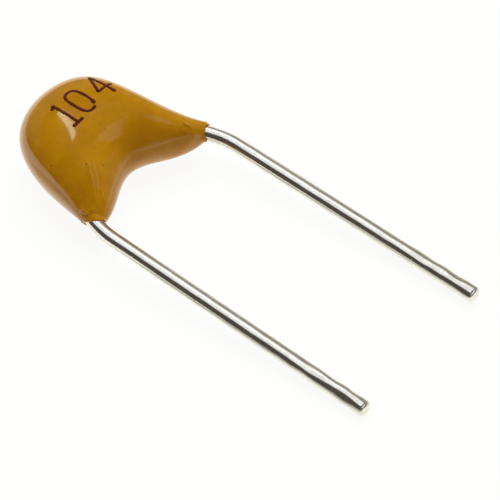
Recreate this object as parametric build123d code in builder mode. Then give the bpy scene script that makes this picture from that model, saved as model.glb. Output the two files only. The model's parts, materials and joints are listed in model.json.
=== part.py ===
from build123d import *
import os
from math import atan2, cos, degrees, pi, sin, tan

# Radial dipped multilayer ceramic capacitor, lying on its belly and its two lead tips.
# Every piece is placed in the plane of the leads: X runs from the left lead to the right one and
# Y from the mouths of the coating up to its crown. That plane slopes down to the lead tips.
# All lengths are in millimetres and all angles in degrees.

LEFT, RIGHT = -1, 1

# Ceramic chip
chip_width = 2.3
chip_height = 2.4
chip_thickness = 1.2
chip_edge_radius = 0.1
chip_base = 1.7
chip_offset = -0.2

# Electrode plates, fewer and thicker than the real ones
plate_count = 12
plate_thickness = 0.03
plate_end_margin = 0.3
plate_side_margin = 0.25
plate_face_margin = 0.12

# Termination caps on the two ends of the chip
cap_wall = 0.05
cap_band = 0.45

# Solder between cap and lead
solder_bed = 0.03
solder_film = 0.04
solder_inset = 0.2
solder_wrap = 80.0
solder_foot_share = 0.85

# Lead wires
lead_diameter = 0.5
lead_pitch = 5.08
lead_reach = 10.95
lead_elbow_radius = 3.6
left_elbow_level = 0.15
right_elbow_level = -0.5
lead_knee_radius = 0.6
lead_tip_round = 0.1
lead_end_inset = 0.75

# Dipped coating: how far it stands out over what it covers
crown_cover = 0.77
left_shoulder_cover = 0.28
right_shoulder_cover = 0.46
flank_cover = 0.33
left_hip_cover = 0.25
right_hip_cover = 0.14
face_cover = 0.6
mouth_cover = 0.085
left_mouth_slant = 0.46
right_mouth_slant = 0.02
left_bare_bend_share = 0.6
right_bare_bend_share = 0.7
hip_share = 0.48
crotch_shift = 0.1
crotch_share = 0.46
web_share = 0.37
oval_share = 0.61
leg_taper = 2.7
station_count = 13
close_station_count = 81
oval_step_count = 60
halving_count = 40

# Worked-out places in the plane of the leads
lead_radius = lead_diameter / 2
lead_seat = chip_width / 2 + cap_wall + solder_bed + lead_radius
chip_top = chip_base + chip_height
chip_middle = (chip_base + chip_top) / 2
lead_top = chip_top - lead_end_inset
crown = Vector(chip_offset, chip_top + cap_wall + crown_cover)
crotch = Vector(chip_offset + crotch_shift, chip_base * crotch_share)
mouth_radius = lead_radius + mouth_cover
belly = chip_thickness / 2 + cap_wall + face_cover
elbow_levels = {LEFT: left_elbow_level, RIGHT: right_elbow_level}
shoulder_covers = {LEFT: left_shoulder_cover, RIGHT: right_shoulder_cover}
hip_covers = {LEFT: left_hip_cover, RIGHT: right_hip_cover}
mouth_slants = {LEFT: left_mouth_slant, RIGHT: right_mouth_slant}
bare_bend_shares = {LEFT: left_bare_bend_share, RIGHT: right_bare_bend_share}


def lead_corners(side):
    """Corners of one lead's centre line: inner end, knee, elbow and tip."""
    seat = chip_offset + side * lead_seat
    pin = side * lead_pitch / 2
    elbow = Vector(pin, elbow_levels[side])
    return Vector(seat, lead_top), Vector(seat, chip_base), elbow, Vector(pin, -lead_reach)


def mouth(side):
    """Middle of a leg's mouth, part way round the elbow, and half its slanting width, outwards."""
    _, knee, elbow, _ = lead_corners(side)
    bend = atan2(abs(elbow.X - knee.X), knee.Y - elbow.Y)
    centre = elbow - Vector(side * lead_elbow_radius, lead_elbow_radius * tan(bend / 2))
    turn = bend * bare_bend_shares[side]
    across = Vector(side * cos(turn), sin(turn))
    along = Vector(side * sin(turn), -cos(turn))
    return centre + across * lead_elbow_radius, across * mouth_radius - along * mouth_slants[side] / 2


def outer_points(side):
    """Outer outline of the coating from a leg's mouth to the shoulder above it."""
    _, knee, elbow, _ = lead_corners(side)
    middle, half_mouth = mouth(side)
    run = elbow - knee
    outward = Vector(-side * run.Y, side * run.X).normalized()
    hip = knee + run * hip_share + outward * (lead_radius + hip_covers[side])
    flank = Vector(knee.X + side * (lead_radius + flank_cover), chip_middle)
    corner = Vector(chip_offset + side * (chip_width / 2 + cap_wall), chip_top)
    shoulder = corner + Vector(side, 1).normalized() * shoulder_covers[side]
    return [middle + half_mouth, hip, flank, shoulder]


def inner_points(side):
    """Inner outline of the coating from a leg's mouth to half way up the web."""
    middle, half_mouth = mouth(side)
    rim = middle - half_mouth
    return [rim, rim + (crotch - rim) * web_share]


# The coating's two outlines, each from the left mouth over the body to the right mouth
with BuildLine() as outer_rail:
    Spline(outer_points(LEFT) + [crown] + outer_points(RIGHT)[::-1])
with BuildLine() as inner_rail:
    Spline(inner_points(LEFT) + [crotch] + inner_points(RIGHT)[::-1])


def station(share):
    """Middle, half width and half thickness of the coating at a share of its way round."""
    outer = outer_rail.line @ share
    inner = inner_rail.line @ share
    from_crown = abs(2 * share - 1)
    half_thickness = belly + (mouth_radius - belly) * from_crown**leg_taper
    return (outer + inner) / 2, (outer - inner) / 2, half_thickness


def spread_stations(count):
    """Stations at even shares of the way from the left mouth to the right one."""
    return [station(index / (count - 1)) for index in range(count)]


def oval_shares(step):
    """Reach and height, as shares of an oval's half sizes, at a step from its end to its top."""
    gone = step / oval_step_count
    left = 1 - gone
    early = 3 * left**2 * gone
    late = 3 * left * gone**2
    return left**3 + early + late * oval_share, early * oval_share + late + gone**3


def lowest_of_coating(slope):
    """Lowest height of the coating when the leads slope down by an angle in radians."""
    heights = []
    for middle, arm, half_thickness in close_stations:
        for reach, height in oval_points:
            nearest = (middle.Y - abs(arm.Y) * reach) * sin(slope)
            heights.append(nearest - half_thickness * height * cos(slope))
    return min(heights)


def lowest_of_tips(slope):
    """Lowest height of the rounded lead tips at the same slope."""
    along = (lead_tip_round - lead_reach) * sin(slope)
    return along - (lead_radius - lead_tip_round) * cos(slope) - lead_tip_round


# The slope at which belly and tips touch the same floor, found by halving
close_stations = spread_stations(close_station_count)
oval_points = [oval_shares(step) for step in range(oval_step_count + 1)]
gentle, steep = 0.0, pi / 4
for _ in range(halving_count):
    slope = (gentle + steep) / 2
    if lowest_of_coating(slope) < lowest_of_tips(slope):
        gentle = slope
    else:
        steep = slope

foremost = (lead_tip_round - lead_reach) * cos(slope) - (lead_radius - lead_tip_round) * sin(slope)
hindmost = crown.Y * cos(slope)
lead_plane = Plane(
    origin=(0, -(foremost - lead_tip_round + hindmost) / 2, -lowest_of_tips(slope)),
    x_dir=(1, 0, 0),
    z_dir=(0, -sin(slope), cos(slope)),
)


def make_electrodes(side):
    """Plates that come out at one end of the chip, every second level."""
    first = 0 if side == LEFT else 1
    spread = chip_thickness - 2 * plate_face_margin - plate_thickness
    with BuildPart() as plates:
        for level in range(first, plate_count, 2):
            height = spread * (level / (plate_count - 1) - 1 / 2)
            middle = chip_offset + side * plate_end_margin / 2
            with Locations(lead_plane * Pos(middle, chip_middle, height)):
                Box(chip_width - plate_end_margin, chip_height - 2 * plate_side_margin, plate_thickness)
    return plates


left_electrodes = make_electrodes(LEFT)
right_electrodes = make_electrodes(RIGHT)

with BuildPart() as chip_block:
    with Locations(lead_plane * Pos(chip_offset, chip_middle, 0)):
        Box(chip_width, chip_height, chip_thickness)
    fillet(chip_block.edges().filter_by(Axis.X), chip_edge_radius)

with BuildPart() as ceramic_chip:
    add(chip_block.part)
    add(left_electrodes.part, mode=Mode.SUBTRACT)
    add(right_electrodes.part, mode=Mode.SUBTRACT)


def make_termination(side):
    """Thin metal cap over one end of the chip, wrapped a little way along its sides."""
    length = cap_band + cap_wall
    middle = chip_offset + side * (chip_width / 2 + cap_wall - length / 2)
    with BuildPart() as cap:
        with Locations(lead_plane * Pos(middle, chip_middle, 0)):
            Box(length, chip_height + 2 * cap_wall, chip_thickness + 2 * cap_wall)
        fillet(cap.edges().filter_by(Axis.X), chip_edge_radius + cap_wall)
        end = cap.faces().sort_by(Axis.X)[0 if side == LEFT else -1]
        chamfer(end.edges(), cap_wall)
        add(chip_block.part, mode=Mode.SUBTRACT)
    return cap


left_termination = make_termination(LEFT)
right_termination = make_termination(RIGHT)


def make_lead(side):
    """Round wire from the end of the chip out to the pitch and down to its cut tip."""
    with BuildPart() as lead:
        with BuildLine(lead_plane) as route:
            corners = [tuple(corner) for corner in lead_corners(side)]
            FilletPolyline(corners, radius=(lead_knee_radius, lead_elbow_radius))
        with BuildSketch(Plane(origin=route.line @ 0, z_dir=route.line % 0)):
            Circle(lead_radius)
        sweep()
        tip = lead.faces().sort_by(Axis.Y)[0]
        fillet(tip.edges(), lead_tip_round)
    return lead


left_lead = make_lead(LEFT)
right_lead = make_lead(RIGHT)


def make_solder(side, lead):
    """Fillet of solder that wraps the lead and spreads to a foot on the cap."""
    start = Vector(chip_offset + side * lead_seat, chip_base + solder_inset, 0)
    foot = Vector(-lead_radius - solder_bed, (chip_thickness / 2 - chip_edge_radius) * solder_foot_share)
    across = Plane(origin=lead_plane.from_local_coords(start), x_dir=(side, 0, 0), z_dir=lead_plane.y_dir)
    with BuildPart() as solder:
        with BuildSketch(across):
            with BuildLine():
                over = CenterArc((0, 0), lead_radius + solder_film, 0, solder_wrap)
                skirt = TangentArc(over @ 1, foot, tangent=over % 1)
                Line(skirt @ 1, (foot.X, 0))
                mirror(about=Plane.XZ)
            make_face()
        extrude(amount=lead_top + solder_film - start.Y)
        add(lead.part, mode=Mode.SUBTRACT)
    return solder


left_solder = make_solder(LEFT, left_lead)
right_solder = make_solder(RIGHT, right_lead)


def oval(middle, arm, half_thickness):
    """Full oval across the coating at one station, drawn as four arcs."""
    centre = lead_plane.from_local_coords(middle)
    out = lead_plane.from_local_coords(middle + arm) - centre
    up = lead_plane.z_dir * half_thickness
    arcs = []
    for start, end in ((out, up), (up, -out), (-out, -up), (-up, out)):
        early, late = start + end * oval_share, end + start * oval_share
        arcs.append(Edge.make_bezier(centre + start, centre + early, centre + late, centre + end))
    return Face(Wire(arcs))


# The coating is one skin, lofted through ovals that fan round from mouth to mouth
with BuildPart() as epoxy_coating:
    loft([oval(*place) for place in spread_stations(station_count)])
    add(chip_block.part, mode=Mode.SUBTRACT)
    for piece in (left_termination, right_termination, left_solder, right_solder, left_lead, right_lead):
        add(piece.part, mode=Mode.SUBTRACT)

epoxy_coating.part.label = "epoxy_coating"
ceramic_chip.part.label = "ceramic_chip"
left_electrodes.part.label = "left_electrodes"
right_electrodes.part.label = "right_electrodes"
left_termination.part.label = "left_termination"
right_termination.part.label = "right_termination"
left_solder.part.label = "left_solder"
right_solder.part.label = "right_solder"
left_lead.part.label = "left_lead"
right_lead.part.label = "right_lead"

os.makedirs("parts", exist_ok=True)
export_step(epoxy_coating.part, "parts/epoxy_coating.step")
export_step(ceramic_chip.part, "parts/ceramic_chip.step")
export_step(left_electrodes.part, "parts/left_electrodes.step")
export_step(right_electrodes.part, "parts/right_electrodes.step")
export_step(left_termination.part, "parts/left_termination.step")
export_step(right_termination.part, "parts/right_termination.step")
export_step(left_solder.part, "parts/left_solder.step")
export_step(right_solder.part, "parts/right_solder.step")
export_step(left_lead.part, "parts/left_lead.step")
export_step(right_lead.part, "parts/right_lead.step")

print("leads slope down by", round(degrees(slope), 3), "degrees")
print("lead plane origin", tuple(round(value, 4) for value in lead_plane.origin))
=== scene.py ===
"""Studio scene of a radial, dipped multilayer ceramic capacitor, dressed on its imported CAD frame.

Shapes are worked out in the plane of the two leads, in millimetres: X runs from the left lead to the
right one, Y from the mouths of the coating up to its crown, and Z out of that plane. LeadPlane turns
them into the metres of the row frame.
"""
import json
import logging
from dataclasses import dataclass, field
from enum import Enum
from math import atan2, cos, pi, radians, sin, tan
from typing import Any

import bpy
import numpy as np
from mathutils import Matrix, Vector, noise
from mathutils.bvhtree import BVHTree


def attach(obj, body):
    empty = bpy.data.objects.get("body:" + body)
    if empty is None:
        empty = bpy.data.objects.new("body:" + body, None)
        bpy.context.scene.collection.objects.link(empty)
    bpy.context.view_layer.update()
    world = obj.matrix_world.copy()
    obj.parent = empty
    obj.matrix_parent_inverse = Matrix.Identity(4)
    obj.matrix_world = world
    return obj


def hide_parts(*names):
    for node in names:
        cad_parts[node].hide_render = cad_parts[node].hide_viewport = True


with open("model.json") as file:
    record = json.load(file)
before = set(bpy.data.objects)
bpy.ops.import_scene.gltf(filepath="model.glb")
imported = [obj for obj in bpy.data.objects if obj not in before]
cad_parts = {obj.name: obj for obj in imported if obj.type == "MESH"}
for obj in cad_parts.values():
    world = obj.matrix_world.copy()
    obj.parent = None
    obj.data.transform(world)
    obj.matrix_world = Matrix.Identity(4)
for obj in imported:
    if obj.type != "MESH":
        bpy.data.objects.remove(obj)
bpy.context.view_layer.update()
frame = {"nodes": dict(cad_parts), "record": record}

LOG = logging.getLogger("capacitor")
MILLIMETRE = 0.001
IMAGE_SIDE = 500
BODY = "root"
Colour = tuple[float, float, float, float]
Triple = tuple[float, float, float]
Pair = tuple[float, float]
WHITE: Colour = (1.0, 1.0, 1.0, 1.0)
NOISE_SPAN: Pair = (0.3, 0.7)


class Side(Enum):
    """The two leads, by the sign of their X."""

    LEFT = -1
    RIGHT = 1


class Slot(Enum):
    """Material slots of the record that the new pieces take their finish from."""

    EPOXY = "epoxy"
    WIRE = "tinned_wire"


@dataclass(frozen=True)
class LeadPlane:
    """The sloping plane of the leads in the row frame."""

    origin: np.ndarray
    up_the_leads: np.ndarray

    @classmethod
    def from_record(cls, record: dict[str, Any], pin_end: float) -> "LeadPlane":
        """Finds the plane from the left pin's mount.

        Args:
            record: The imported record, whose mounts give the middle and axis of each straight pin.
            pin_end: Y at which the straight part of a pin ends, in millimetres.

        Returns:
            The plane, with its origin on the centre line between the leads.
        """
        mount = next(m for m in record["mounts"] if m["name"] == "left_pin")
        up_the_leads = -np.array(mount["axis"])
        middle = np.array(mount["pos_m"]) / MILLIMETRE
        pin_middle = pin_end + mount["dims"]["length_mm"] / 2
        origin = middle - up_the_leads * pin_middle
        origin[0] = 0.0
        return cls(origin, up_the_leads)

    def to_row(self, points: np.ndarray) -> np.ndarray:
        """Turns points of the plane into the row frame.

        Args:
            points: Rows of X, Y and Z in millimetres.

        Returns:
            The same points in metres.
        """
        across = np.array([1.0, 0.0, 0.0])
        normal = np.cross(across, self.up_the_leads)
        axes = np.array([across, self.up_the_leads, normal])
        return (self.origin + points @ axes) * MILLIMETRE


def make_piece(name: str, points: np.ndarray, faces: list[tuple[int, ...]]) -> bpy.types.Object:
    """Makes a smooth-shaded mesh object and sets it on the part's only body.

    Args:
        name: Name of the piece.
        points: Its vertices in the row frame, in metres.
        faces: Vertex numbers of each face.

    Returns:
        The new object.
    """
    mesh = bpy.data.meshes.new(name)
    mesh.from_pydata([tuple(point) for point in points], [], faces)
    mesh.polygons.foreach_set("use_smooth", [True] * len(mesh.polygons))
    mesh.validate()
    mesh.update()
    piece = bpy.data.objects.new(name, mesh)
    bpy.context.scene.collection.objects.link(piece)
    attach(piece, BODY)
    return piece


def tube_faces(rows: int, columns: int) -> list[tuple[int, ...]]:
    """Joins rings of points into a closed tube with an end face on its first and last ring.

    Args:
        rows: Number of rings.
        columns: Points in each ring.

    Returns:
        Vertex numbers of each face.
    """
    faces: list[tuple[int, ...]] = []
    for row in range(rows - 1):
        for column in range(columns):
            after = (column + 1) % columns
            low, high = row * columns, (row + 1) * columns
            faces.append((low + column, low + after, high + after, high + column))
    faces.append(tuple(reversed(range(columns))))
    faces.append(tuple((rows - 1) * columns + column for column in range(columns)))
    return faces


def ripple(points: np.ndarray, per_millimetre: float, seed: float) -> np.ndarray:
    """Reads smooth noise at points.

    Args:
        points: Rows of X, Y and Z in millimetres.
        per_millimetre: How many waves there are in a millimetre.
        seed: Shift that tells one pattern from another.

    Returns:
        Values of about -1 to 1.
    """
    shift = Vector((seed, seed, seed))
    return np.array([noise.noise(Vector(point) * per_millimetre + shift) for point in points])


def distance_along(points: np.ndarray) -> np.ndarray:
    """Measures how far along a line each of its points lies.

    Args:
        points: Places on the line in order.

    Returns:
        One distance for each point, from 0 at the first.
    """
    steps = np.linalg.norm(np.diff(points, axis=0), axis=1)
    return np.concatenate([[0.0], np.cumsum(steps)])


class Rail:
    """A smooth outline through a few points, read by the share of the way along it."""

    SAMPLES = 2001

    def __init__(self, points: list[np.ndarray]) -> None:
        """Fits a cubic through the points, with end slopes taken from the last four at each end.

        Args:
            points: Places on the outline in order, in millimetres.
        """
        places = np.array(points)
        chords = np.linalg.norm(np.diff(places, axis=0), axis=1)
        knots = distance_along(places)
        slopes = self._slopes(places, chords, knots)
        where = np.linspace(0.0, knots[-1], self.SAMPLES)
        span = np.clip(np.searchsorted(knots, where, side="right") - 1, 0, len(chords) - 1)
        length = chords[span][:, None]
        gone = ((where - knots[span]) / chords[span])[:, None]
        left = 1.0 - gone
        self.samples = (
            places[span] * left**2 * (1 + 2 * gone)
            + slopes[span] * length * gone * left**2
            + places[span + 1] * gone**2 * (3 - 2 * gone)
            - slopes[span + 1] * length * gone**2 * left
        )
        travelled = distance_along(self.samples)
        self.shares = travelled / travelled[-1]

    @staticmethod
    def _slopes(places: np.ndarray, chords: np.ndarray, knots: np.ndarray) -> np.ndarray:
        """Solves for the slope of the cubic at each point.

        Args:
            places: The points to pass through.
            chords: Distances from each point to the next.
            knots: Distance along the chords at each point.

        Returns:
            One slope for each point.
        """
        count = len(places)
        matrix = np.zeros((count, count))
        right = np.zeros_like(places)
        for end, near in ((0, slice(0, 4)), (count - 1, slice(count - 4, count))):
            cubic = np.polyfit(knots[near] - knots[end], places[near], 3)
            matrix[end, end] = 1.0
            right[end] = cubic[2]
        for i in range(1, count - 1):
            before, after = chords[i - 1], chords[i]
            matrix[i, i - 1 : i + 2] = (1 / before, 2 / before + 2 / after, 1 / after)
            rise_before = (places[i] - places[i - 1]) / before**2
            right[i] = 3 * (rise_before + (places[i + 1] - places[i]) / after**2)
        return np.linalg.solve(matrix, right)

    def at(self, share: float) -> np.ndarray:
        """Returns the place at a share of the way along."""
        return np.array([np.interp(share, self.shares, self.samples[:, axis]) for axis in (0, 1)])


@dataclass(frozen=True)
class ChipForm:
    """Sizes of the chip that the leads hold and the coating wraps, in millimetres."""

    width: float = 2.3
    height: float = 2.4
    thickness: float = 1.2
    base: float = 1.7
    offset: float = -0.2
    cap_wall: float = 0.05
    solder_bed: float = 0.03

    @property
    def top(self) -> float:
        """Upper end of the chip."""
        return self.base + self.height

    @property
    def half_width(self) -> float:
        """Half the width over the termination caps."""
        return self.width / 2 + self.cap_wall


@dataclass(frozen=True)
class LeadForm:
    """Centre line of one lead in the plane of the leads, in millimetres."""

    side: Side
    elbow_level: float
    bare_bend_share: float
    chip: ChipForm
    radius: float = 0.25
    pitch: float = 5.08
    reach: float = 10.95
    end_inset: float = 0.75
    knee_radius: float = 0.6
    elbow_radius: float = 3.6
    tip_round: float = 0.1

    def corners(self) -> list[np.ndarray]:
        """Returns the inner end, knee, elbow and tip of the centre line."""
        seat = self.chip.half_width + self.chip.solder_bed + self.radius
        inner_x = self.chip.offset + self.side.value * seat
        pin_x = self.side.value * self.pitch / 2
        return [
            np.array([inner_x, self.chip.top - self.end_inset]),
            np.array([inner_x, self.chip.base]),
            np.array([pin_x, self.elbow_level]),
            np.array([pin_x, -self.reach]),
        ]

    @property
    def bend(self) -> float:
        """Angle of the knee, and of the elbow that turns it back."""
        _, knee, elbow, _ = self.corners()
        return atan2(abs(elbow[0] - knee[0]), knee[1] - elbow[1])

    def elbow_place(self, turn: float) -> tuple[np.ndarray, np.ndarray, np.ndarray]:
        """Finds a place on the elbow's arc, or straight on past the arc's lower end.

        Args:
            turn: Angle that is still to turn before the lead runs straight down.

        Returns:
            The place, the direction outwards across the lead, and the direction towards the tip.
        """
        sign = self.side.value
        elbow = self.corners()[2]
        centre = elbow - np.array([sign, tan(self.bend / 2)]) * self.elbow_radius
        held = max(turn, 0.0)
        across = np.array([sign * cos(held), sin(held)])
        along = np.array([sign * sin(held), -cos(held)])
        straight_on = max(-turn, 0.0) * self.elbow_radius
        return centre + across * self.elbow_radius + along * straight_on, across, along

    def past_mouth(self, distance: float) -> tuple[np.ndarray, np.ndarray, np.ndarray]:
        """Returns the place, outward and tipward directions at a distance past the coating's mouth."""
        return self.elbow_place(self.bend * self.bare_bend_share - distance / self.elbow_radius)


class NodeBench:
    """Shorthand for drawing up a node tree."""

    def __init__(self, tree: bpy.types.NodeTree) -> None:
        """Starts on a tree, emptied first."""
        self.tree = tree
        tree.nodes.clear()

    def add(self, kind: str, settings: dict[str, Any] | None = None,
            values: dict[Any, Any] | None = None) -> bpy.types.Node:
        """Adds a node.

        Args:
            kind: Blender's name of the node type.
            settings: Properties to set on the node.
            values: Input sockets, by name or number, with a plain value or a socket to link from.

        Returns:
            The new node.
        """
        node = self.tree.nodes.new(kind)
        for name, value in (settings or {}).items():
            setattr(node, name, value)
        for name, value in (values or {}).items():
            if isinstance(value, bpy.types.NodeSocket):
                self.tree.links.new(value, node.inputs[name])
            else:
                node.inputs[name].default_value = value
        return node

    def math(self, operation: str, first: Any, second: Any = 0.0) -> bpy.types.NodeSocket:
        """Adds a math node on two numbers or sockets and returns its value socket."""
        return self.add("ShaderNodeMath", {"operation": operation}, {0: first, 1: second}).outputs[0]

    def remap(self, value: Any, source: Pair, target: Pair) -> bpy.types.NodeSocket:
        """Spreads a value smoothly from one range over another.

        Args:
            value: Number or socket to read.
            source: Ends of the range that it is read over.
            target: Ends of the range that comes out.

        Returns:
            The socket with the new value.
        """
        inputs = {"Value": value, "From Min": source[0], "From Max": source[1],
                  "To Min": target[0], "To Max": target[1]}
        node = self.add("ShaderNodeMapRange", {"interpolation_type": "SMOOTHSTEP"}, inputs)
        return node.outputs["Result"]

    def blend(self, share: Any, first: Any, second: Any) -> bpy.types.NodeSocket:
        """Mixes two colours by a share and returns the colour socket."""
        share_input, first_input, second_input, colour_output = 0, 6, 7, 2
        node = self.add("ShaderNodeMix", {"data_type": "RGBA"}, {
            share_input: share, first_input: first, second_input: second})
        return node.outputs[colour_output]

    def between(self, share: Any, first: Any, second: Any) -> bpy.types.NodeSocket:
        """Goes from one number to another by a share and returns the value socket."""
        step = self.math("MULTIPLY", share, self.math("SUBTRACT", second, first))
        return self.math("ADD", first, step)


class EffectGroups:
    """Surface effects that several finishes share, each built once as a node group."""

    def __init__(self) -> None:
        """Builds the three groups."""
        self.clouds = self._clouds()
        self.grain = self._grain()
        self.specks = self._specks()

    @staticmethod
    def _start(name: str, inputs: dict[str, float], output: str) -> tuple[NodeBench, Any, Any]:
        """Starts a group with number sockets and the surface's own coordinates.

        Args:
            name: Name of the group.
            inputs: Input names with their starting values.
            output: Name of its output.

        Returns:
            The bench, the sockets of the group's inputs and the socket of coordinates in millimetres.
        """
        tree = bpy.data.node_groups.new(name, "ShaderNodeTree")
        bench = NodeBench(tree)
        for socket, value in inputs.items():
            made = tree.interface.new_socket(socket, in_out="INPUT", socket_type="NodeSocketFloat")
            made.default_value = value
        tree.interface.new_socket(output, in_out="OUTPUT", socket_type="NodeSocketFloat")
        given = bench.add("NodeGroupInput").outputs
        place = bench.add("ShaderNodeTexCoord").outputs["Object"]
        scaled = bench.add("ShaderNodeVectorMath", {"operation": "SCALE"},
                           {0: place, "Scale": 1 / MILLIMETRE})
        return bench, given, scaled.outputs[0]

    @staticmethod
    def _end(bench: NodeBench, value: bpy.types.NodeSocket) -> bpy.types.NodeTree:
        """Puts a value out of the group and returns the group."""
        bench.add("NodeGroupOutput", None, {0: value})
        return bench.tree

    def _clouds(self) -> bpy.types.NodeTree:
        """Builds soft, cloudy mottling with a Share from 0 to 1."""
        bench, given, place = self._start("cloudy_mottle", {"Waves": 1.0, "Detail": 2.0}, "Share")
        cloud = bench.add("ShaderNodeTexNoise", None, {
            "Vector": place, "Scale": given["Waves"], "Detail": given["Detail"]})
        return self._end(bench, bench.remap(cloud.outputs["Fac"], NOISE_SPAN, (0.0, 1.0)))

    def _grain(self) -> bpy.types.NodeTree:
        """Builds fine grain that can be drawn out along the leads, as a Height from 0 to 1."""
        bench, given, place = self._start("drawn_grain", {"Across": 8.0, "Along": 8.0}, "Height")
        stretch = bench.add("ShaderNodeCombineXYZ", None, {
            "X": given["Across"], "Y": given["Along"], "Z": given["Across"]})
        drawn = bench.add("ShaderNodeVectorMath", {"operation": "MULTIPLY"},
                          {0: place, 1: stretch.outputs[0]})
        texture = bench.add("ShaderNodeTexNoise", None, {
            "Vector": drawn.outputs[0], "Scale": 1.0, "Detail": 3.0})
        return self._end(bench, texture.outputs["Fac"])

    def _specks(self) -> bpy.types.NodeTree:
        """Builds sparse round specks as a Mask from 0 to 1."""
        bench, given, place = self._start(
            "stray_specks", {"Cells": 2.0, "Radius": 0.1, "Rarity": 0.9}, "Mask")
        cells = bench.add("ShaderNodeTexVoronoi", None, {"Vector": place, "Scale": given["Cells"]})
        near = bench.math("LESS_THAN", cells.outputs["Distance"], given["Radius"])
        chance = bench.add("ShaderNodeSeparateColor", None, {0: cells.outputs["Color"]})
        chosen = bench.math("GREATER_THAN", chance.outputs[0], given["Rarity"])
        return self._end(bench, bench.math("MULTIPLY", near, chosen))


@dataclass(frozen=True)
class Finish:
    """A finish with cloudy tone, fine relief and stray specks over one Principled shader."""

    name: str
    tone: Colour
    other_tone: Colour
    speck_tone: Colour
    metallic: float
    roughness: Pair
    tone_waves: float
    grain_across: float
    grain_along: float
    relief: float
    fine_tone: Colour = (0.0, 0.0, 0.0, 1.0)
    fine_waves: float = 8.0
    fine_share: float = 0.1
    speck_cells: float = 3.0
    speck_radius: float = 0.12
    speck_rarity: float = 0.9
    specular: float = 0.5

    def build(self, effects: EffectGroups) -> bpy.types.Material:
        """Makes the material.

        Args:
            effects: The shared node groups.

        Returns:
            A material with a plain Principled shader fed by the groups.
        """
        material = bpy.data.materials.new(self.name)
        material.use_nodes = True
        bench = NodeBench(material.node_tree)
        clouds = bench.add("ShaderNodeGroup", {"node_tree": effects.clouds}, {"Waves": self.tone_waves})
        specks = bench.add("ShaderNodeGroup", {"node_tree": effects.specks}, {
            "Cells": self.speck_cells, "Radius": self.speck_radius, "Rarity": self.speck_rarity})
        grain = bench.add("ShaderNodeGroup", {"node_tree": effects.grain}, {
            "Across": self.grain_across, "Along": self.grain_along})
        fine = bench.add("ShaderNodeGroup", {"node_tree": effects.clouds}, {"Waves": self.fine_waves})
        tone = bench.blend(clouds.outputs["Share"], self.tone, self.other_tone)
        share = bench.math("MULTIPLY", fine.outputs["Share"], self.fine_share)
        tone = bench.blend(share, tone, self.fine_tone)
        colour = bench.blend(specks.outputs["Mask"], tone, self.speck_tone)
        rough = bench.remap(grain.outputs["Height"], NOISE_SPAN, self.roughness)
        bump = bench.add("ShaderNodeBump", None, {
            "Strength": 1.0, "Distance": self.relief * MILLIMETRE, "Height": grain.outputs["Height"]})
        shader = bench.add("ShaderNodeBsdfPrincipled", None, {
            "Base Color": colour, "Metallic": self.metallic, "Roughness": rough,
            "Specular IOR Level": self.specular, "Normal": bump.outputs["Normal"]})
        bench.add("ShaderNodeOutputMaterial", None, {"Surface": shader.outputs["BSDF"]})
        return material


EPOXY = Finish(
    "ochre_dipped_epoxy", tone=(0.45, 0.186, 0.001, 1), other_tone=(0.39, 0.152, 0.0005, 1),
    speck_tone=(0.15, 0.055, 0.004, 1), metallic=0.0, roughness=(0.07, 0.11), tone_waves=1.1,
    grain_across=11.0, grain_along=11.0, relief=0.0005, fine_tone=(0.30, 0.125, 0.0005, 1),
    fine_waves=5.0, fine_share=0.28, speck_radius=0.09, speck_rarity=0.82, specular=0.4)
TIN = Finish(
    "tinned_wire", tone=(0.80, 0.81, 0.78, 1), other_tone=(0.72, 0.72, 0.69, 1),
    speck_tone=(0.34, 0.32, 0.29, 1), metallic=1.0, roughness=(0.15, 0.22), tone_waves=2.0,
    grain_across=12.0, grain_along=1.2, relief=0.0006, fine_tone=(0.60, 0.59, 0.55, 1),
    fine_waves=9.0, fine_share=0.4, speck_cells=4.0, speck_radius=0.1)
INK = Finish(
    "maroon_marking_ink", tone=(0.078, 0.009, 0.006, 1), other_tone=(0.098, 0.013, 0.007, 1),
    speck_tone=(0.03, 0.004, 0.005, 1), metallic=0.0, roughness=(0.45, 0.6), tone_waves=4.0,
    grain_across=14.0, grain_along=14.0, relief=0.001, fine_tone=(0.12, 0.02, 0.012, 1), specular=0.12)
CERAMIC = Finish(
    "brown_fired_ceramic", tone=(0.33, 0.22, 0.14, 1), other_tone=(0.28, 0.18, 0.11, 1),
    speck_tone=(0.16, 0.10, 0.06, 1), metallic=0.0, roughness=(0.5, 0.62), tone_waves=3.0,
    grain_across=20.0, grain_along=20.0, relief=0.003)
NICKEL = Finish(
    "nickel_electrode", tone=(0.55, 0.52, 0.47, 1), other_tone=(0.48, 0.45, 0.41, 1),
    speck_tone=(0.25, 0.23, 0.2, 1), metallic=1.0, roughness=(0.3, 0.4), tone_waves=3.0,
    grain_across=20.0, grain_along=20.0, relief=0.001)
PLATING = Finish(
    "plated_termination", tone=(0.72, 0.71, 0.69, 1), other_tone=(0.62, 0.61, 0.59, 1),
    speck_tone=(0.3, 0.29, 0.28, 1), metallic=1.0, roughness=(0.28, 0.42), tone_waves=3.0,
    grain_across=16.0, grain_along=16.0, relief=0.002)
SOLDER = Finish(
    "soft_solder", tone=(0.60, 0.60, 0.60, 1), other_tone=(0.50, 0.50, 0.51, 1),
    speck_tone=(0.25, 0.25, 0.25, 1), metallic=1.0, roughness=(0.2, 0.36), tone_waves=4.0,
    grain_across=9.0, grain_along=9.0, relief=0.004)


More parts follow.
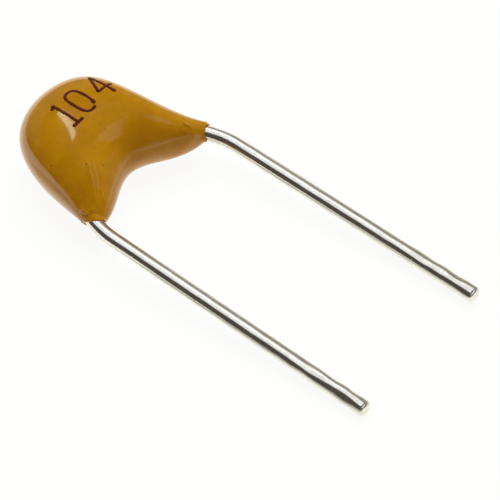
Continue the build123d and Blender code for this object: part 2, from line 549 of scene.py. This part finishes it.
@dataclass
class LeadWire:
    """One tinned lead, drawn along its whole route, with a cut and slightly rounded tip."""

    form: LeadForm
    plane: LeadPlane
    finish: bpy.types.Material
    seed: float
    columns: int = 48
    step: float = 0.12
    arc_steps: int = 28
    round_steps: int = 14
    face_rings: tuple[float, ...] = (0.75, 0.45, 0.15)
    dome: float = 0.18
    dome_power: float = 0.85
    wave_stretch: Triple = (1.6, 0.9, 1.6)
    wave_rate: float = 2.2
    even_wave: float = 0.004
    even_level: float = 0.5
    tip_wave: float = 0.035
    tip_level: float = 0.4
    tip_stretch: float = 2.4
    tip_underlap: float = 0.3

    @property
    def node(self) -> str:
        """Name of the CAD node that the wire stands for."""
        return f"{self.form.side.name.lower()}_lead"

    def route(self) -> tuple[np.ndarray, np.ndarray]:
        """Follows the centre line from the inner end to where the tip starts to round.

        Returns:
            Places on the centre line and the directions there, towards the tip.
        """
        inner, knee, elbow, tip = self.form.corners()
        end = tip + np.array([0.0, self.dome])
        places = [inner]
        directions = [np.array([0.0, -1.0])]
        turns = ((knee, elbow, self.form.knee_radius), (elbow, end, self.form.elbow_radius))
        for corner, after, radius in turns:
            arriving = (corner - places[-1]) / np.linalg.norm(corner - places[-1])
            leaving = (after - corner) / np.linalg.norm(after - corner)
            setback = radius * tan(self.form.bend / 2)
            self._straight(places, directions, corner - arriving * setback, arriving)
            self._arc(places, directions, radius, arriving, leaving)
        self._straight(places, directions, end, np.array([0.0, -1.0]))
        return np.array(places), np.array(directions)

    def _straight(self, places: list[np.ndarray], directions: list[np.ndarray],
                  end: np.ndarray, direction: np.ndarray) -> None:
        """Adds even steps from the last place to an end.

        Args:
            places: Places so far, added to.
            directions: Directions so far, added to.
            end: Where the straight run stops.
            direction: Direction of the run.
        """
        start = places[-1]
        count = max(2, int(np.linalg.norm(end - start) / self.step))
        for index in range(1, count + 1):
            places.append(start + (end - start) * index / count)
            directions.append(direction)

    def _arc(self, places: list[np.ndarray], directions: list[np.ndarray], radius: float,
             arriving: np.ndarray, leaving: np.ndarray) -> None:
        """Adds a rounded corner after the last place.

        Args:
            places: Places so far, added to.
            directions: Directions so far, added to.
            radius: Radius of the corner.
            arriving: Direction into the corner.
            leaving: Direction out of it.
        """
        start = places[-1]
        turn_sign = np.sign(arriving[0] * leaving[1] - arriving[1] * leaving[0])
        inward = np.array([-arriving[1], arriving[0]]) * turn_sign
        for index in range(1, self.arc_steps + 1):
            angle = self.form.bend * index / self.arc_steps
            places.append(start + radius * (arriving * sin(angle) + inward * (1 - cos(angle))))
            directions.append(arriving * cos(angle) + inward * sin(angle))

    def _ring(self, place: np.ndarray, direction: np.ndarray, radius: float) -> np.ndarray:
        """Sets points round the centre line.

        Args:
            place: Place on the centre line.
            direction: Direction of the centre line there.
            radius: Radius of the ring.

        Returns:
            One row of X, Y and Z for each column.
        """
        turns = np.linspace(0.0, 2 * pi, self.columns, endpoint=False)
        across = np.array([-direction[1], direction[0]])
        flat = place + radius * np.cos(turns)[:, None] * across
        return np.column_stack([flat, radius * np.sin(turns)])

    def points(self) -> np.ndarray:
        """Works out every ring, with uneven tin that grows towards the tip.

        Returns:
            Points in the plane of the leads, ring by ring.
        """
        places, directions = self.route()
        rings = [self._ring(places[0], directions[0], self.form.radius * share)
                 for share in reversed(self.face_rings)]
        rings += [self._ring(p, d, self.form.radius) for p, d in zip(places, directions)]
        down = directions[-1]
        for index in range(1, self.round_steps):
            angle = pi / 2 * index / self.round_steps
            ahead = places[-1] + down * self.dome * sin(angle) ** self.dome_power
            rings.append(self._ring(ahead, down, self.form.radius * cos(angle) ** self.dome_power))
        middles = np.repeat([ring.mean(axis=0) for ring in rings], self.columns, axis=0)
        return self._uneven(np.concatenate(rings), middles)

    def _uneven(self, points: np.ndarray, middles: np.ndarray) -> np.ndarray:
        """Swells and thins the tin.

        Args:
            points: Points of the wire.
            middles: Middle of the ring that each point is in.

        Returns:
            Points moved a little inwards or outwards.
        """
        from_tip = points[:, 1] + self.form.reach
        near_tip = np.exp(-((from_tip / self.tip_stretch) ** 2))
        outward = (points - middles) / self.form.radius
        on_top = np.clip(outward[:, 2] + self.tip_underlap, 0.0, 1.0)
        wave = ripple(points * np.array(self.wave_stretch), self.wave_rate, self.seed)
        lumps = self.tip_wave * near_tip * on_top * (wave + self.tip_level)
        swell = self.even_wave * (wave - self.even_level) + lumps
        return points + outward * swell[:, None]

    def build(self) -> bpy.types.Object:
        """Builds and dresses the wire and returns the piece."""
        points = self.points()
        faces = tube_faces(len(points) // self.columns, self.columns)
        piece = make_piece(f"{self.node}_wire", self.plane.to_row(points), faces)
        piece.data.materials.append(self.finish)
        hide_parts(self.node)
        return piece


@dataclass(frozen=True)
class Mouth:
    """How the coating ends on one lead, in millimetres."""

    slant: float
    hip_cover: float
    shoulder_cover: float
    creep: float
    rag: float
    lip: float
    tongue_turn: float
    tongue: float
    tongue_spread: float
    seed: float


@dataclass(frozen=True)
class Ridge:
    """A low, soft ridge where the coating ran down, drawn on its upper face in millimetres."""

    height: float
    half_width: float
    path: tuple[Pair, ...]


@dataclass
class DippedCoating:
    """The epoxy skin: ovals fanned round an arch from one mouth to the other, and ragged ends.

    Each of the collars that end it at a mouth has a share of the creep along the lead, a share of the
    cover and a share of the lip.
    """

    leads: dict[Side, LeadForm]
    mouths: dict[Side, Mouth]
    ridges: list[Ridge]
    chip: ChipForm
    plane: LeadPlane
    finish: bpy.types.Material
    crown_cover: float = 0.77
    flank_cover: float = 0.33
    face_cover: float = 0.6
    mouth_cover: float = 0.085
    hip_share: float = 0.48
    crotch_shift: float = 0.1
    crotch_share: float = 0.46
    web_share: float = 0.37
    oval_share: float = 0.61
    leg_taper: float = 2.7
    stations: int = 340
    columns: int = 176
    sink: float = 0.006
    socket_depth: float = 0.3
    rag_rates: Pair = (1.7, 4.5)
    fine_rag: float = 0.6
    least_creep: float = 0.3
    collars: tuple[Triple, ...] = ((0.2, 0.80, 0.3), (0.45, 0.58, 0.8), (0.7, 0.44, 1.0),
                                  (0.88, 0.36, 0.9), (0.97, 0.24, 0.5), (1.0, 0.10, 0.0))
    wave: float = 0.004
    wave_rate: float = 0.9
    wave_level: float = 0.5
    wave_seed: float = 3.7
    fade_stations: int = 8
    points: np.ndarray = field(init=False)

    @property
    def mouth_radius(self) -> float:
        """Radius of the coating where it meets the open air round a lead."""
        return self.leads[Side.LEFT].radius + self.mouth_cover

    @property
    def belly(self) -> float:
        """Half the thickness of the coating at its crown."""
        return self.chip.thickness / 2 + self.chip.cap_wall + self.face_cover

    def half_mouth(self, side: Side) -> tuple[np.ndarray, np.ndarray]:
        """Returns the middle of a mouth and half its slanting width, outwards."""
        middle, across, along = self.leads[side].past_mouth(0.0)
        return middle, across * self.mouth_radius - along * self.mouths[side].slant / 2

    def outer_points(self, side: Side) -> list[np.ndarray]:
        """Sets the outer outline from a mouth to the shoulder above it.

        Args:
            side: Which leg.

        Returns:
            Mouth edge, hip, flank and shoulder.
        """
        lead, mouth, sign = self.leads[side], self.mouths[side], side.value
        _, knee, elbow, _ = lead.corners()
        middle, half_mouth = self.half_mouth(side)
        run = elbow - knee
        outward = np.array([-sign * run[1], sign * run[0]]) / np.linalg.norm(run)
        hip = knee + run * self.hip_share + outward * (lead.radius + mouth.hip_cover)
        flank_x = knee[0] + sign * (lead.radius + self.flank_cover)
        flank = np.array([flank_x, self.chip.base + self.chip.height / 2])
        corner = np.array([self.chip.offset + sign * self.chip.half_width, self.chip.top])
        shoulder = corner + np.array([sign, 1.0]) / np.sqrt(2.0) * mouth.shoulder_cover
        return [middle + half_mouth, hip, flank, shoulder]

    def inner_points(self, side: Side) -> list[np.ndarray]:
        """Returns the inner outline from a mouth to half way up the web."""
        middle, half_mouth = self.half_mouth(side)
        rim = middle - half_mouth
        return [rim, rim + (self.crotch - rim) * self.web_share]

    @property
    def crotch(self) -> np.ndarray:
        """Top of the gap between the legs."""
        return np.array([self.chip.offset + self.crotch_shift, self.chip.base * self.crotch_share])

    def oval(self) -> tuple[np.ndarray, np.ndarray]:
        """Works out one oval of half sizes 1.

        Returns:
            Reach outwards and height of each column, from the outer end over the top.
        """
        turn = np.arange(self.columns) / self.columns * 4
        quarter, gone = np.divmod(turn, 1.0)
        left = 1 - gone
        early, late = 3 * left**2 * gone, 3 * left * gone**2
        reach = left**3 + early + late * self.oval_share
        height = early * self.oval_share + late + gone**3
        across = np.choose(quarter.astype(int), [reach, -height, -reach, height])
        above = np.choose(quarter.astype(int), [height, reach, -height, -reach])
        return across, above

    def body_rings(self) -> list[np.ndarray]:
        """Fans the ovals round the arch, from the left mouth to the right one.

        Returns:
            One ring of points for each station.
        """
        crown = np.array([self.chip.offset, self.chip.top + self.chip.cap_wall + self.crown_cover])
        outer = Rail(self.outer_points(Side.LEFT) + [crown] + self.outer_points(Side.RIGHT)[::-1])
        inner = Rail(self.inner_points(Side.LEFT) + [self.crotch] + self.inner_points(Side.RIGHT)[::-1])
        reach, height = self.oval()
        rings = []
        for share in (1 - np.cos(np.linspace(0.0, pi, self.stations))) / 2:
            far, near = outer.at(share), inner.at(share)
            from_crown = abs(2 * share - 1)
            half_thickness = self.belly + (self.mouth_radius - self.belly) * from_crown**self.leg_taper
            flat = (far + near) / 2 + np.outer(reach, (far - near) / 2)
            rings.append(np.column_stack([flat, half_thickness * height]))
        return rings

    def mouth_rings(self, side: Side) -> list[np.ndarray]:
        """Draws the skin out along a lead to a ragged edge, then back into a shallow socket.

        Args:
            side: Which mouth.

        Returns:
            Rings from the mouth outwards.
        """
        lead, mouth = self.leads[side], self.mouths[side]
        reach, height = self.oval()
        turns = np.arctan2(height, reach)
        start = -np.cos(turns) * mouth.slant / 2
        ring_points = np.column_stack([np.cos(turns), np.sin(turns), np.zeros(self.columns)])
        coarse, fine = (ripple(ring_points, rate, mouth.seed) for rate in self.rag_rates)
        rag = coarse + self.fine_rag * fine
        off_tongue = np.angle(np.exp(1j * (turns - mouth.tongue_turn)))
        tongue = mouth.tongue * np.exp(-((off_tongue / mouth.tongue_spread) ** 2))
        creep = np.maximum(mouth.creep + mouth.rag * rag + tongue, mouth.creep * self.least_creep)
        rings = []
        for share, cover, lip in self.collars:
            thickness = self.mouth_cover * cover + mouth.lip * lip
            rings.append(self._collar(lead, start + creep * share, turns, lead.radius + thickness))
        for distances in (start + creep, np.full(self.columns, -self.socket_depth)):
            rings.append(self._collar(lead, distances, turns, lead.radius - self.sink))
        return rings

    @staticmethod
    def _collar(lead: LeadForm, distances: np.ndarray, turns: np.ndarray, radius: float) -> np.ndarray:
        """Sets one ring round a lead, whose points may lie at different distances along it.

        Args:
            lead: The lead.
            distances: Distance past the mouth of each point.
            turns: Angle of each point round the lead, from the outer side.
            radius: Distance of the points from the lead's centre line.

        Returns:
            One row of X, Y and Z for each point.
        """
        points = []
        for distance, turn in zip(distances, turns):
            place, across, _ = lead.past_mouth(distance)
            flat = place + across * radius * cos(turn)
            points.append((flat[0], flat[1], radius * sin(turn)))
        return np.array(points)

    def relief(self, body: np.ndarray) -> np.ndarray:
        """Adds faint waves and run-down ridges to the body rings.

        Args:
            body: Points as stations by columns by X, Y and Z.

        Returns:
            The points, moved along the surface's own normals.
        """
        along = np.gradient(body, axis=0)
        around = np.roll(body, -1, axis=1) - np.roll(body, 1, axis=1)
        normals = np.cross(around, along)
        normals /= np.linalg.norm(normals, axis=2, keepdims=True)
        flat = body.reshape(-1, 3)
        lift = self.wave * (ripple(flat, self.wave_rate, self.wave_seed) - self.wave_level)
        facing_up = np.clip(normals[..., 2].ravel(), 0.0, 1.0)
        for ridge in self.ridges:
            off_ridge = self._distance(flat, ridge) / ridge.half_width
            lift += ridge.height * facing_up * np.exp(-(off_ridge ** 2))
        station = np.arange(len(body))
        fade = np.clip(np.minimum(station, station[::-1]) / self.fade_stations, 0.0, 1.0)
        return body + normals * lift.reshape(body.shape[:2])[..., None] * fade[:, None, None]

    @staticmethod
    def _distance(points: np.ndarray, ridge: Ridge) -> np.ndarray:
        """Measures how far points lie from a ridge's path, seen square on to the leads.

        Args:
            points: Rows of X, Y and Z.
            ridge: The ridge.

        Returns:
            One distance for each point.
        """
        best = np.full(len(points), np.inf)
        for start, end in zip(np.array(ridge.path[:-1]), np.array(ridge.path[1:])):
            run = end - start
            from_start = points[:, :2] - start
            share = np.clip(from_start @ run / (run @ run), 0.0, 1.0)
            best = np.minimum(best, np.linalg.norm(from_start - share[:, None] * run, axis=1))
        return best

    def build(self) -> bpy.types.Object:
        """Builds and dresses the coating and returns the piece."""
        body = self.relief(np.array(self.body_rings()))
        left = self.mouth_rings(Side.LEFT)[::-1]
        self.points = np.concatenate(left + list(body) + self.mouth_rings(Side.RIGHT))
        faces = tube_faces(len(self.points) // self.columns, self.columns)
        piece = make_piece("dipped_coating_skin", self.plane.to_row(self.points), faces)
        piece.data.materials.append(self.finish)
        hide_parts("epoxy_coating")
        return piece

    def surface(self) -> BVHTree:
        """Returns the skin as a tree for ray casts in the plane of the leads, in millimetres."""
        faces = tube_faces(len(self.points) // self.columns, self.columns)
        return BVHTree.FromPolygons([tuple(point) for point in self.points], faces)


@dataclass
class ValueCode:
    """A plain three-digit value code printed on the coating's upper face."""

    coating: DippedCoating
    plane: LeadPlane
    finish: bpy.types.Material
    baseline: float = 2.54
    height: float = 1.15
    stroke: float = 0.1
    unevenness: float = 0.22
    uneven_rate: float = 5.0
    uneven_seed: float = 1.3
    end_blob: float = 0.3
    proud: float = 0.005
    sunk: float = 0.012
    step: float = 0.03
    round_steps: int = 8
    one_x: float = -0.42
    zero_x: float = 0.24
    four_x: float = 0.86

    def strokes(self) -> list[np.ndarray]:
        """Draws each digit as pen strokes.

        Returns:
            Lines of X and Y in the plane of the leads.
        """
        foot, flag, flag_level = 0.17, 0.1, 0.93
        one = [[(0, 0), (0, 1)], [(0, 1), (-flag, flag_level)], [(-foot, 0), (foot, 0)]]
        half, squareness, first_turn, last_turn, turn_count = 0.26, 0.72, -40, 285, 65
        sweep = np.radians(np.linspace(first_turn, last_turn, turn_count))
        zero = [[(half * np.sign(np.cos(t)) * abs(np.cos(t)) ** squareness,
                  0.5 + 0.5 * np.sign(np.sin(t)) * abs(np.sin(t)) ** squareness) for t in sweep]]
        bar_level, stem_x, bar_end = 0.3, 0.36, 0.52
        four = [[(stem_x, 0), (stem_x, 1), (0, bar_level), (bar_end, bar_level)]]
        lines = []
        for left, digit in ((self.one_x, one), (self.zero_x, zero), (self.four_x, four)):
            for line in digit:
                pen = np.array([(left + x, self.baseline + y * self.height) for x, y in line])
                lines.append(self._even(pen))
        return lines

    def _even(self, line: np.ndarray) -> np.ndarray:
        """Spaces a line's points evenly, keeping its ends.

        Args:
            line: Corners of the line.

        Returns:
            Points a pen step apart.
        """
        travelled = distance_along(line)
        where = np.linspace(0.0, travelled[-1], max(3, int(travelled[-1] / self.step)))
        return np.column_stack([np.interp(where, travelled, line[:, axis]) for axis in (0, 1)])

    def ribbon(self, line: np.ndarray, surface: BVHTree) -> tuple[np.ndarray, list[tuple[int, ...]]]:
        """Lays a closed ribbon of ink along a line, down on the coating.

        Args:
            line: The pen's path.
            surface: The coating, for ray casts.

        Returns:
            Points of the ribbon and its faces.
        """
        directions = np.gradient(line, axis=0)
        directions /= np.linalg.norm(directions, axis=1)[:, None]
        halves = self._half_widths(line)
        across = np.column_stack([-directions[:, 1], directions[:, 0]]) * halves[:, None]
        bends = np.linspace(0, pi / 2, self.round_steps, endpoint=False)[1:]
        rows = [(line[0] - directions[0] * halves[0] * sin(a), across[0] * cos(a)) for a in bends[::-1]]
        rows += list(zip(line, across))
        rows += [(line[-1] + directions[-1] * halves[-1] * sin(a), across[-1] * cos(a)) for a in bends]
        rings = []
        for place, half in rows:
            left, right = self._down(place + half, surface), self._down(place - half, surface)
            lift, drop = np.array([0, 0, self.proud]), np.array([0, 0, -self.sunk])
            rings += [right + drop, right + lift, left + lift, left + drop]
        return np.array(rings), tube_faces(len(rows), 4)

    def _half_widths(self, line: np.ndarray) -> np.ndarray:
        """Works out half the stroke's width along a line, uneven and with a blob at both ends.

        Args:
            line: The pen's path.

        Returns:
            One half width for each point.
        """
        travelled = distance_along(line)
        from_end = np.minimum(travelled, travelled[-1] - travelled)
        wave = ripple(np.column_stack([line, travelled]), self.uneven_rate, self.uneven_seed)
        blob = self.end_blob * np.exp(-((from_end / self.stroke) ** 2))
        return self.stroke / 2 * (1 + self.unevenness * wave + blob)

    @staticmethod
    def _down(place: np.ndarray, surface: BVHTree) -> np.ndarray:
        """Drops a place of the plane straight down on the coating."""
        above = 10.0
        hit, _, _, _ = surface.ray_cast(Vector((place[0], place[1], above)), Vector((0, 0, -1)))
        return np.array(hit)

    def build(self) -> bpy.types.Object:
        """Builds and dresses the code and returns the piece."""
        surface = self.coating.surface()
        points, faces, used = [], [], 0
        for line in self.strokes():
            ring_points, ring_faces = self.ribbon(line, surface)
            points.append(ring_points)
            faces += [tuple(number + used for number in face) for face in ring_faces]
            used += len(ring_points)
        piece = make_piece("printed_value_code", self.plane.to_row(np.concatenate(points)), faces)
        piece.data.materials.append(self.finish)
        return piece


@dataclass
class SealedChip:
    """The pieces inside the coating, which keep their CAD shapes."""

    finishes: dict[str, bpy.types.Material]

    def dress(self) -> list[bpy.types.Object]:
        """Gives each CAD node its finish and returns the nodes."""
        for node, finish in self.finishes.items():
            mesh = frame["nodes"][node].data
            mesh.materials.clear()
            mesh.materials.append(finish)
        return [frame["nodes"][node] for node in self.finishes]


@dataclass(frozen=True)
class Softbox:
    """A soft light that hangs level and shines straight down, in metres; a glow of 1 is white."""

    name: str
    place: Triple
    size: Pair
    glow: float
    tint: Triple = (1.0, 1.0, 1.0)
    turn: float = 0.0

    def hang(self) -> bpy.types.Object:
        """Hangs the light, hidden from the camera, and returns it."""
        lamp = bpy.data.lights.new(self.name, "AREA")
        lamp.shape = "RECTANGLE"
        width, depth = self.size
        lamp.size, lamp.size_y = width, depth
        lamp.energy = self.glow * pi * width * depth
        lamp.color = self.tint
        light = bpy.data.objects.new(self.name, lamp)
        light.location = self.place
        light.rotation_euler.z = self.turn
        light.visible_camera = False
        bpy.context.scene.collection.objects.link(light)
        return light


KEY_TINT: Triple = (0.87, 1.0, 0.8)
OVERHEAD = Softbox("overhead_softbox", (0.085, 0.025, 0.13), (0.16, 0.16), 4.25, KEY_TINT)
STRIP = Softbox("strip_softbox", (0.0379, 0.0689, 0.1), (0.0056, 0.064), 8.4, KEY_TINT, radians(-9.0))
FRONT_PANEL = Softbox("front_panel", (0.0325, -0.0325, 0.1), (0.045, 0.055), 0.65)
LEAD_CARD = Softbox("lead_card", (0.03, 0.056, 0.1), (0.15, 0.14), 1.0)
LEAD_FRONT_CARD = Softbox("lead_front_card", (0.0, -0.19, 0.1), (0.24, 0.22), 0.7)


@dataclass
class Studio:
    """Pale floor, soft light and the camera; the camera's place is in the plane of the leads.

    In reflections the floor has painted light, brighter behind the part and beside the leads, and
    painted shade, dimmer in front between the leads and in one place at the left of the body; to
    diffuse light it glows as painted bounce light, and the world has a lit wall at the back and a dark
    side.
    """

    plane: LeadPlane
    eye: Triple = (-30.967, -40.290, 63.812)
    view_right: Triple = (0.6584, -0.7457, -0.1030)
    view_up: Triple = (0.6458, 0.4894, 0.5861)
    focal_pixels: float = 2600.0
    sensor: float = 36.0
    clip_start: float = 0.001
    clip_end: float = 5.0
    floor_side: float = 3.0
    floor_drop: float = 0.000005
    floor_shadow: float = 0.07
    floor_tone: Colour = (0.9, 0.9, 0.9, 1.0)
    # Painted reflection tint: the floor looks warmer in reflections than to the eye.
    painted_reflection_tint: Colour = (1.0, 0.965, 0.86, 1.0)
    # Painted light and shade of the floor: a bounce glow to diffuse rays, and places brighter or dimmer
    # in reflections.
    painted_bounce_glow: float = 1.35
    back_span: Pair = (0.004, 0.011)
    painted_back_glow: float = 1.45
    front_span: Pair = (0.0016, 0.0036)
    painted_front_glows: Pair = (0.5, 1.1)
    lead_x: float = 0.00254
    lead_band: Pair = (0.0011, 0.0017)
    painted_lead_glow: float = 1.2
    shade_centre: Triple = (-0.0047, 0.0079, 0.0)
    shade_span: Pair = (0.0008, 0.0028)
    shade_glow: float = 0.55
    fill: float = 0.22
    fill_tint: Colour = (1.0, 0.84, 0.7, 1.0)
    wall_direction: Triple = (0.80, 0.45, 0.40)
    wall_edge: Pair = (0.15, 0.27)
    ceiling_edge: Pair = (0.5, 0.66)
    wall_glows: Pair = (0.38, 0.05)
    front_edge: Pair = (-0.15, -0.7)
    dark_glows: Pair = (0.085, 0.12)

    def build(self, wires: list[bpy.types.Object]) -> None:
        """Sets the floor, the lights, the surroundings and the camera.

        Args:
            wires: The bare leads, which have two white cards of their own to mirror.
        """
        bpy.context.scene.view_settings.view_transform = "Standard"
        self.add_floor()
        OVERHEAD.hang().visible_glossy = False
        STRIP.hang()
        FRONT_PANEL.hang()
        mirrors = bpy.data.collections.new("bare_leads")
        for wire in wires:
            mirrors.objects.link(wire)
        for card in (LEAD_CARD, LEAD_FRONT_CARD):
            light = card.hang()
            light.visible_diffuse = False
            light.light_linking.receiver_collection = mirrors
        self.set_surroundings()
        self.add_camera()

    def add_floor(self) -> None:
        """Lays a white floor that keeps a faint shadow."""
        half = self.floor_side / 2
        corners = [(-half, -half), (half, -half), (half, half), (-half, half)]
        mesh = bpy.data.meshes.new("studio_floor")
        mesh.from_pydata([(x, y, -self.floor_drop) for x, y in corners], [], [(0, 1, 2, 3)])
        floor = bpy.data.objects.new("studio_floor", mesh)
        bpy.context.scene.collection.objects.link(floor)
        mesh.materials.append(self.floor_material())

    def floor_material(self) -> bpy.types.Material:
        """Mixes the floor: white to the eye, with painted light and shade in reflections and a painted
        bounce glow to diffuse light.

        Returns:
            The floor's material.
        """
        material = bpy.data.materials.new("pale_floor")
        material.use_nodes = True
        bench = NodeBench(material.node_tree)
        path = bench.add("ShaderNodeLightPath").outputs
        place = bench.add("ShaderNodeNewGeometry").outputs["Position"]
        axes = bench.add("ShaderNodeSeparateXYZ", None, {0: place}).outputs
        # Painted light: the floor glows brighter behind the part.
        behind = bench.remap(axes["Y"], self.back_span, (1.0, self.painted_back_glow))
        # Painted shadow: a dimmer pool on the floor at the left of the body.
        distance = bench.add("ShaderNodeVectorMath", {"operation": "DISTANCE"},
                             {0: place, 1: self.shade_centre}).outputs["Value"]
        shade = bench.remap(distance, self.shade_span, (self.shade_glow, 1.0))
        # Painted light in a band beside each lead, and painted shade in front between the leads.
        from_lead = bench.math("SUBTRACT", bench.math("ABSOLUTE", axes["X"]), self.lead_x)
        painted_lead_band = bench.remap(bench.math("ABSOLUTE", from_lead), self.lead_band, (self.painted_lead_glow, 0.0))
        front = bench.math("MAXIMUM", painted_lead_band, bench.remap(axes["Y"], self.front_span, self.painted_front_glows))
        # These painted pools of light and shade show only in reflections.
        painted_reflection_glow = bench.math("MULTIPLY", behind, bench.math("MULTIPLY", shade, front))
        strength = bench.between(path["Is Glossy Ray"], 1.0, painted_reflection_glow)
        # Painted bounce light: to diffuse rays the floor glows brighter than white, most of all behind
        # the part.
        painted_bounce_light = bench.math("MULTIPLY", behind, self.painted_bounce_glow)
        strength = bench.between(path["Is Diffuse Ray"], strength, painted_bounce_light)
        matt = bench.add("ShaderNodeBsdfDiffuse", None, {"Color": self.floor_tone})
        # Painted reflection tint: warmer in reflections than to the eye.
        glow = bench.blend(path["Is Glossy Ray"], WHITE, self.painted_reflection_tint)
        white = bench.add("ShaderNodeEmission", None, {"Color": glow, "Strength": strength})
        mixed = bench.add("ShaderNodeMixShader", None, {
            0: 1 - self.floor_shadow, 1: matt.outputs[0], 2: white.outputs[0]})
        bench.add("ShaderNodeOutputMaterial", None, {"Surface": mixed.outputs[0]})
        return material

    def set_surroundings(self) -> None:
        """Makes the world white to the eye, a plain fill for light and a lit wall in reflections."""
        world = bpy.data.worlds.new("studio")
        bpy.context.scene.world = world
        world.use_nodes = True
        bench = NodeBench(world.node_tree)
        direction = bench.add("ShaderNodeTexCoord").outputs["Generated"]
        towards_wall = bench.add("ShaderNodeVectorMath", {"operation": "DOT_PRODUCT"},
                                 {0: direction, 1: self.wall_direction}).outputs["Value"]
        axes = bench.add("ShaderNodeSeparateXYZ", None, {0: direction}).outputs
        on_wall = bench.remap(towards_wall, self.wall_edge, (0.0, 1.0))
        wall_glow = bench.remap(axes["Z"], self.ceiling_edge, self.wall_glows)
        wall = bench.math("MULTIPLY", on_wall, wall_glow)
        dark = bench.remap(axes["Y"], self.front_edge, self.dark_glows)
        path = bench.add("ShaderNodeLightPath").outputs
        lit = bench.between(path["Is Glossy Ray"], self.fill, bench.math("MAXIMUM", wall, dark))
        seen = bench.math("MAXIMUM", path["Is Camera Ray"], path["Is Transmission Ray"])
        strength = bench.between(seen, lit, 1.0)
        tint = bench.blend(seen, self.fill_tint, WHITE)
        glow = bench.add("ShaderNodeBackground", None, {"Color": tint, "Strength": strength})
        bench.add("ShaderNodeOutputWorld", None, {"Surface": glow.outputs[0]})

    def add_camera(self) -> None:
        """Sets the camera where the photograph was taken from."""
        lens = bpy.data.cameras.new("photograph_camera")
        lens.sensor_fit = "HORIZONTAL"
        lens.sensor_width = self.sensor
        lens.lens = self.focal_pixels / IMAGE_SIDE * self.sensor
        lens.clip_start, lens.clip_end = self.clip_start, self.clip_end
        camera = bpy.data.objects.new("photograph_camera", lens)
        ends = np.array([self.eye, self.view_right, self.view_up])
        ends[1:] += ends[0]
        eye, right, up = (Vector(end) for end in self.plane.to_row(ends))
        right, up = (right - eye).normalized(), (up - eye).normalized()
        turn = Matrix((right, up, right.cross(up))).transposed()
        camera.matrix_world = Matrix.Translation(eye) @ turn.to_4x4()
        bpy.context.scene.collection.objects.link(camera)
        bpy.context.scene.camera = camera


def main() -> None:
    logging.basicConfig(level=logging.INFO, format="%(name)s: %(message)s")
    effects = EffectGroups()
    chip = ChipForm()
    leads = {
        Side.LEFT: LeadForm(Side.LEFT, elbow_level=0.15, bare_bend_share=0.6, chip=chip),
        Side.RIGHT: LeadForm(Side.RIGHT, elbow_level=-0.5, bare_bend_share=0.7, chip=chip),
    }
    lead = leads[Side.LEFT]
    plane = LeadPlane.from_record(frame["record"], lead.tip_round - lead.reach)
    tin = TIN.build(effects)
    tin_seeds = (11.3, 27.1)
    wires = [LeadWire(form, plane, tin, seed).build() for form, seed in zip(leads.values(), tin_seeds)]
    for wire in wires:
        LOG.info("built %s", wire.name)
    mouths = {
        Side.LEFT: Mouth(
            slant=0.46, hip_cover=0.25, shoulder_cover=0.28, creep=0.14, rag=0.05, lip=0.0,
            tongue_turn=1.2, tongue=0.15, tongue_spread=1.0, seed=5.2),
        Side.RIGHT: Mouth(
            slant=0.02, hip_cover=0.14, shoulder_cover=0.46, creep=0.08, rag=0.04, lip=0.02,
            tongue_turn=3.1, tongue=0.10, tongue_spread=0.5, seed=8.4),
    }
    ridges = [
        Ridge(0.021, 0.1, ((-1.24, 1.45), (-1.34, 1.24), (-1.63, 0.83), (-2.0, 0.45))),
        Ridge(0.018, 0.085, ((-1.12, 1.2), (-1.36, 0.83), (-1.8, 0.34))),
        Ridge(0.045, 0.045, ((-2.47, 0.64), (-2.45, 0.42))),
        Ridge(0.03, 0.045, ((-2.33, 0.36), (-2.28, 0.33))),
        Ridge(0.042, 0.05, ((1.84, 0.15), (1.87, 0.13))),
        Ridge(0.04, 0.045, ((1.89, 0.05), (1.91, 0.03))),
    ]
    coating = DippedCoating(leads, mouths, ridges, chip, plane, EPOXY.build(effects))
    LOG.info("built %s", coating.build().name)
    LOG.info("built %s", ValueCode(coating, plane, INK.build(effects)).build().name)
    nickel, plating, solder = (finish.build(effects) for finish in (NICKEL, PLATING, SOLDER))
    sealed = {"ceramic_chip": CERAMIC.build(effects)}
    for side in ("left", "right"):
        sealed[f"{side}_electrodes"] = nickel
        sealed[f"{side}_termination"] = plating
        sealed[f"{side}_solder"] = solder
    for node in SealedChip(sealed).dress():
        LOG.info("dressed %s", node.name)
    Studio(plane).build(wires)
    bpy.context.view_layer.update()


if __name__ == "__main__":
    main()
